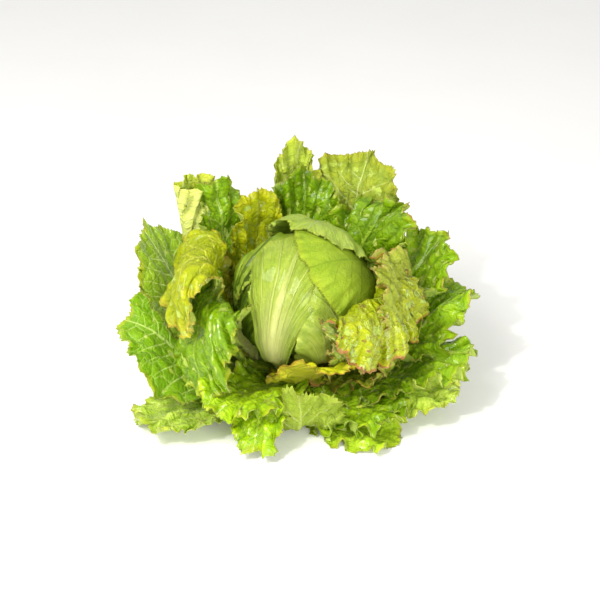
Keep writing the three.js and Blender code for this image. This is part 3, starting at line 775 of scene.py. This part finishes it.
# A leaf's height is its foot's, its wrap is how far its blade bends round the stem, and its
# course is the slope of its midrib in degrees, at distances from the foot.
WRAPPERS = [
    dict(name="yellow", habit=GOLD, azimuth=112, height=31, length=190, width=36, wrap=1,
         course=[(0, 0), (45, 38), (95, 82), (190, 92)], gold=0.35, rust=0.15, specks=0.1, wet=0.5),
    dict(name="gold_edge", habit=GOLD, azimuth=-54, height=27, length=96, width=54, wrap=0.9,
         belly=0.66, sweep=16, course=[(0, 0), (30, 45), (60, 52), (74, 20), (96, -40)], ruffle=3,
         outer="#dcd81c", deep="#bcc414", under="#dcd63c", under_rib="#d8d060",
         under_edge="#b8623c"),
    dict(name="left_hanging", habit=LIME, azimuth=-167, height=30, length=226, width=54, wrap=0.85,
         belly=0.72, taper=0.6, sweep=28,
         course=[(0, 0), (40, 50), (78, 90), (108, 92), (130, 0), (152, -70), (226, -87)],
         outer="#8ab006", deep="#588202", rib="#bcd440"),
    dict(name="crinkled", habit=LOOSE, azimuth=-24, height=30, length=206, width=70, wrap=0.8,
         belly=0.82, taper=0.6, sweep=-14,
         course=[(0, 0), (45, 42), (95, 82), (126, 84), (146, 0), (164, -62), (206, -82)], ruffle=3,
         blister=1.2, cell=10, outer="#b4bc10", deep="#849402", rib="#ccd650", rust=0.9, patch=0.9,
         matt=0.25, wet=0.6, relief=1.5),
    dict(name="back_glossy", habit=GREEN, azimuth=52, height=28, length=198, width=62, wrap=0.85,
         sweep=-18, course=[(0, 0), (45, 38), (100, 72), (150, 72), (198, 30)], frill=1.5,
         outer="#86aa0c", deep="#507802", rib="#b2cc44", rust=0.8, wet=0.6),
    dict(name="olive", habit=LOOSE, azimuth=-6, height=27.6, length=216, width=64, wrap=0.8,
         taper=0.3, sweep=-10, course=[(0, 0), (60, 18), (105, 62), (160, 104), (216, 138)],
         ruffle=3, outer="#8a941c", deep="#647610", rib="#c0c668", under="#a0ac38",
         under_rib="#bcc468", patch=0.3, matt=0.42, wet=0.1),
    dict(name="dark_upper", habit=GREEN, azimuth=130, height=27.6, length=212, width=36, wrap=0.9,
         course=[(0, 0), (45, 36), (100, 71), (180, 84), (212, 76)], frill=1.5, outer="#98c018",
         deep="#588204"),
    dict(name="back_dark", habit=DARK, azimuth=82, height=24.8, length=208, width=44, wrap=0.8,
         course=[(0, 0), (45, 38), (105, 74), (165, 82), (208, 60)], frill=1.7),
    dict(name="back_tall", habit=PALE, azimuth=89, height=16.8, length=248, width=22, wrap=0.6,
         belly=0.8, sweep=-4, course=[(0, 0), (45, 30), (105, 66), (200, 78), (252, 66)], ruffle=5,
         frill=1.7),
    dict(name="pale_fold", habit=PALE, azimuth=142, height=24.6, length=228, width=56, wrap=0.7,
         fold=(1, 9, 5, 165), course=[(0, 0), (45, 32), (110, 62), (180, 80), (228, 86)],
         blister=0.5, crumple=0.45, under="#dfe87c", under_rib="#dde4a0"),
    dict(name="front_left", habit=LIME, azimuth=-118, height=23, length=118, width=46, wrap=0.6,
         belly=0.64, course=[(0, 0), (35, 24), (75, 18), (118, -30)], frill=1.5, outer="#bede1c",
         deep="#80ae04"),
    dict(name="back_right", habit=PALE, azimuth=60, height=22.2, length=240, width=58, wrap=0.65,
         belly=0.7, course=[(0, 0), (45, 30), (110, 60), (180, 71), (240, 62)], ruffle=6,
         outer="#aab43a", deep="#7f9424", rust=0.4, patch=0.3),
    dict(name="left_gold", habit=GOLD, azimuth=166, height=22.2, length=242, width=52, wrap=0.7,
         belly=0.78, taper=0.5, sweep=36,
         course=[(0, 0), (45, 48), (92, 90), (150, 90), (172, 0), (194, -70), (242, -84)],
         frill=0.8, outer="#b4ba10", deep="#849604", gold=0.55, rust=0.4, patch=0.35),
    dict(name="right_back", habit=GREEN, azimuth=26, height=19.6, length=204, width=58, wrap=0.6,
         course=[(0, 0), (45, 22), (110, 48), (204, 55)], ruffle=5, frill=1.5),
    dict(name="left_upper", habit=SMOOTH, azimuth=157, height=19.6, length=204, width=58, wrap=0.5,
         course=[(0, 0), (45, 26), (120, 61), (204, 56)], ruffle=5, outer="#9cba2e", deep="#7ca018",
         rib="#dcec90"),
    dict(name="right_upper", habit=GREEN, azimuth=10, height=17, length=192, width=56, wrap=0.5,
         course=[(0, 0), (45, 16), (110, 38), (160, 38), (192, 5)], ruffle=6, frill=1.5),
    dict(name="left_flat", habit=SMOOTH, azimuth=180, height=17, length=162, width=58, wrap=0.35,
         roll=-22, course=[(0, 0), (45, 16), (120, 46), (162, 24)], ruffle=5, outer="#86b01a",
         deep="#66940c", rib="#c8dc78"),
    dict(name="right_frill", habit=GREEN, azimuth=-12, height=14.2, length=174, width=50, wrap=0.4,
         course=[(0, 0), (45, 9), (110, 28), (174, 14)], ruffle=5, frill=1.6),
    dict(name="front_mid", habit=DARK, azimuth=-40, height=11.4, length=126, width=46, wrap=0.3,
         course=[(0, 0), (45, 5), (90, 12), (126, -2)], frill=1.7, outer="#acd01c", deep="#5c8604"),
    dict(name="front_glossy", habit=LIME, azimuth=-104, height=14, length=128, width=30, wrap=0.3,
         course=[(0, 4), (40, 18), (70, 18), (92, -20), (128, -78)], ruffle=3, frill=0.8),
    dict(name="back_low_left", habit=GREEN, azimuth=126, height=11.4, length=190, width=74,
         wrap=0.35, course=[(0, 0), (45, 8), (120, 30), (190, 12)], ruffle=6),
    dict(name="front_fold", habit=PALE, azimuth=-82, height=8.6, length=126, width=44, wrap=0.3,
         course=[(0, -4), (40, -2), (62, 4), (82, 72), (126, 96)], ruffle=3, frill=0.7, teeth=1.5,
         outer="#94a82e", deep="#748c1c", under="#94aa34", under_rib="#c8d47c"),
    dict(name="back_low_right", habit=GREEN, azimuth=44, height=8.6, length=184, width=74, wrap=0.4,
         course=[(0, 0), (45, 7), (120, 22), (184, 4)], ruffle=6),
    dict(name="floor_right", habit=LIME, azimuth=-15, height=5.8, length=160, width=46, wrap=0.2,
         course=[(0, 0), (45, 10), (100, 12), (160, -14)], ruffle=3, frill=1.5, outer="#dcf068",
         deep="#b0d040"),
    dict(name="floor_left", habit=GREEN, azimuth=-150, height=3.4, length=148, width=52, wrap=0.2,
         roll=14, course=[(0, -3), (60, 6), (110, 6), (156, -8)], outer="#c6dc5c", deep="#8cb024"),
    dict(name="front_frill", habit=LIME, azimuth=-47, height=3, length=128, width=38, wrap=0.2,
         course=[(0, -2), (45, -1), (128, 1)], frill=1.7, outer="#cae83c", deep="#98c010"),
    dict(name="back_floor", habit=GREEN, azimuth=92, height=3, length=156, width=62, wrap=0.2,
         course=[(0, -2), (45, -1), (156, 5)], ruffle=5),
]


def midrib(leaf):
    """A wrapper leaf's midrib as distance, radius from the stem's line, and height: steps of one
    millimetre at the slope between the course's pairs, a + (b - a)(t + t t (3 - 2 t))/2. It
    starts a little inside the stem."""
    knots = np.array(leaf["course"], float)
    d = np.arange(0.5, leaf["length"] * 1.3)
    i = np.clip(np.searchsorted(knots[:, 0], d) - 1, 0, len(knots) - 2)
    t = np.clip((d - knots[i, 0]) / (knots[i + 1, 0] - knots[i, 0]), 0, 1)
    a, b = knots[i, 1], knots[i + 1, 1]
    slope = np.radians(a + (b - a) * (t + t * t * (3 - 2 * t)) / 2)
    start = math.radians(knots[0, 1])
    r = np.r_[-FOOT_DEPTH * math.cos(start), 0, np.cumsum(np.cos(slope))] + FOOT_RADIUS
    z = np.r_[-FOOT_DEPTH * math.sin(start), 0, np.cumsum(np.sin(slope))] + leaf["height"]
    return np.r_[-FOOT_DEPTH, 0, d + 0.5], r, z


def round_the_stem(leaf, side, along):
    """A wrapper leaf's place: its length follows the midrib, and its width goes round the stem
    in an arc of radius max(r, 20)/wrap. The sweep grows as (along/length)^2."""
    distance, radii, heights = leaf["path"]
    where = along - FOOT_TUCK * np.clip(1 - along / 8, 0, 1)
    r = np.interp(where, distance, radii)
    bow = np.maximum(r, TIGHTEST_BOW) / leaf["wrap"]
    arc = np.clip(side / bow, -2.6, 2.6)
    outwards = r - bow * (1 - np.cos(arc))
    sideways = bow * np.sin(arc)
    turn = np.radians(leaf["azimuth"] + leaf["sweep"] * (along / leaf["length"]) ** 2)
    x = outwards * np.cos(turn) - sideways * np.sin(turn) + STEM_SLANT * leaf["height"]
    y = outwards * np.sin(turn) + sideways * np.cos(turn)
    return np.stack([x, y, np.interp(where, distance, heights)], -1)


for number, row in enumerate(WRAPPERS):
    leaf = {**PLAIN_LEAF, **row["habit"], **row, "path": midrib(row)}
    prefix = "loose_leaf_" if row["habit"] is LOOSE else "wrapper_"
    grow(prefix, round_the_stem, leaf, WRAPPER_SEED + number)


# ---- The table, the light and the camera ----
# A plain pale painted table top in a white room, under one large soft light and one small hard
# one from the upper left and a wide soft one in front, seen from a little above.
TABLE_REACH = 3500  # from the middle to each edge
TABLE_PALE = (0.93, 0.925, 0.9, 1)
TABLE_PALER = (0.95, 0.945, 0.925, 1)
TABLE_GLOW = 0.06  # seen, but no light for the rest
ROOM_LIGHT = 0.64
WHITE = (1, 1, 1, 1)
LIGHT_AIM = (0, 0, 0.08)  # metres, as every lamp's place and size
VIEW_MIDDLE = np.array([14.5, 0, 103])
VIEW_DISTANCE = 1500
VIEW_RISE = math.radians(30)
VIEW_SPAN = 582  # what the picture shows across its middle
SENSOR = 36


def table_top():
    """A flat square with a faint mottle in its paint."""
    signs = ((-1, -1), (1, -1), (1, 1), (-1, 1))
    corners = [(x * TABLE_REACH, y * TABLE_REACH, 0) for x, y in signs]
    table = put_mesh("table_top", corners, [(0, 1, 2, 3)])
    finish, nodes, shader = new_finish("table_paint")
    place = nodes.new("TexCoord").outputs["Object"]
    tone = nodes.ramp(nodes.mottle(place, 6), 0.2, 0.8)
    seen = nodes.new("LightPath").outputs["Is Camera Ray"]
    nodes.fill(shader, {
        "Base Color": nodes.blend(tone, TABLE_PALE, TABLE_PALER),
        "Roughness": 0.85,
        "Specular IOR Level": 0.2,
        "Emission Color": WHITE,
        "Emission Strength": nodes.times(seen, TABLE_GLOW)})
    table.data.materials.append(finish)


def lamp(name, place, size, power, colour):
    """A square soft light at place, turned to the part's middle."""
    light = bpy.data.lights.new(name, "AREA")
    light.size = size
    light.energy = power
    light.color = colour
    holder = bpy.data.objects.new(name, light)
    holder.location = place
    way = np.array(LIGHT_AIM) - np.array(place)
    flat = math.hypot(way[0], way[1])
    holder.rotation_euler = (math.atan2(flat, -way[2]), 0, math.atan2(way[1], way[0]) - math.pi / 2)
    bpy.context.scene.collection.objects.link(holder)


def white_room():
    """A white world, brighter to look at than it is as light."""
    world = bpy.data.worlds.new("room")
    nodes = Nodes(world)
    path = nodes.new("LightPath").outputs
    seen = nodes.larger(path["Is Camera Ray"], path["Is Transmission Ray"])
    strength = nodes.ramp(seen, 0, 1, ROOM_LIGHT, 1.0)
    back = nodes.new("Background", {"Color": WHITE, "Strength": strength})
    nodes.new("OutputWorld", {0: back.outputs[0]})
    bpy.context.scene.world = world


def view_from_the_front():
    """The camera, at its distance and its rise from the middle of the view."""
    camera = bpy.data.objects.new("camera", bpy.data.cameras.new("camera"))
    camera.data.sensor_width = SENSOR
    camera.data.lens = SENSOR * VIEW_DISTANCE / VIEW_SPAN
    camera.data.clip_start, camera.data.clip_end = 0.05, 20
    back = VIEW_DISTANCE * np.array([0, -math.cos(VIEW_RISE), math.sin(VIEW_RISE)])
    camera.location = (VIEW_MIDDLE + back) * MM
    camera.rotation_euler = (math.pi / 2 - VIEW_RISE, 0, 0)
    bpy.context.scene.collection.objects.link(camera)
    bpy.context.scene.camera = camera
    bpy.context.scene.view_settings.view_transform = "Standard"


table_top()
lamp("window", (-0.65, -0.55, 1.25), 0.7, 14, (1, 0.985, 0.95))
lamp("small_window", (-0.5, -0.7, 1.1), 0.05, 6, (1, 0.98, 0.94))
lamp("reflector", (0.55, -1.4, 0.55), 0.9, 16, (1, 0.99, 0.97))
white_room()
view_from_the_front()
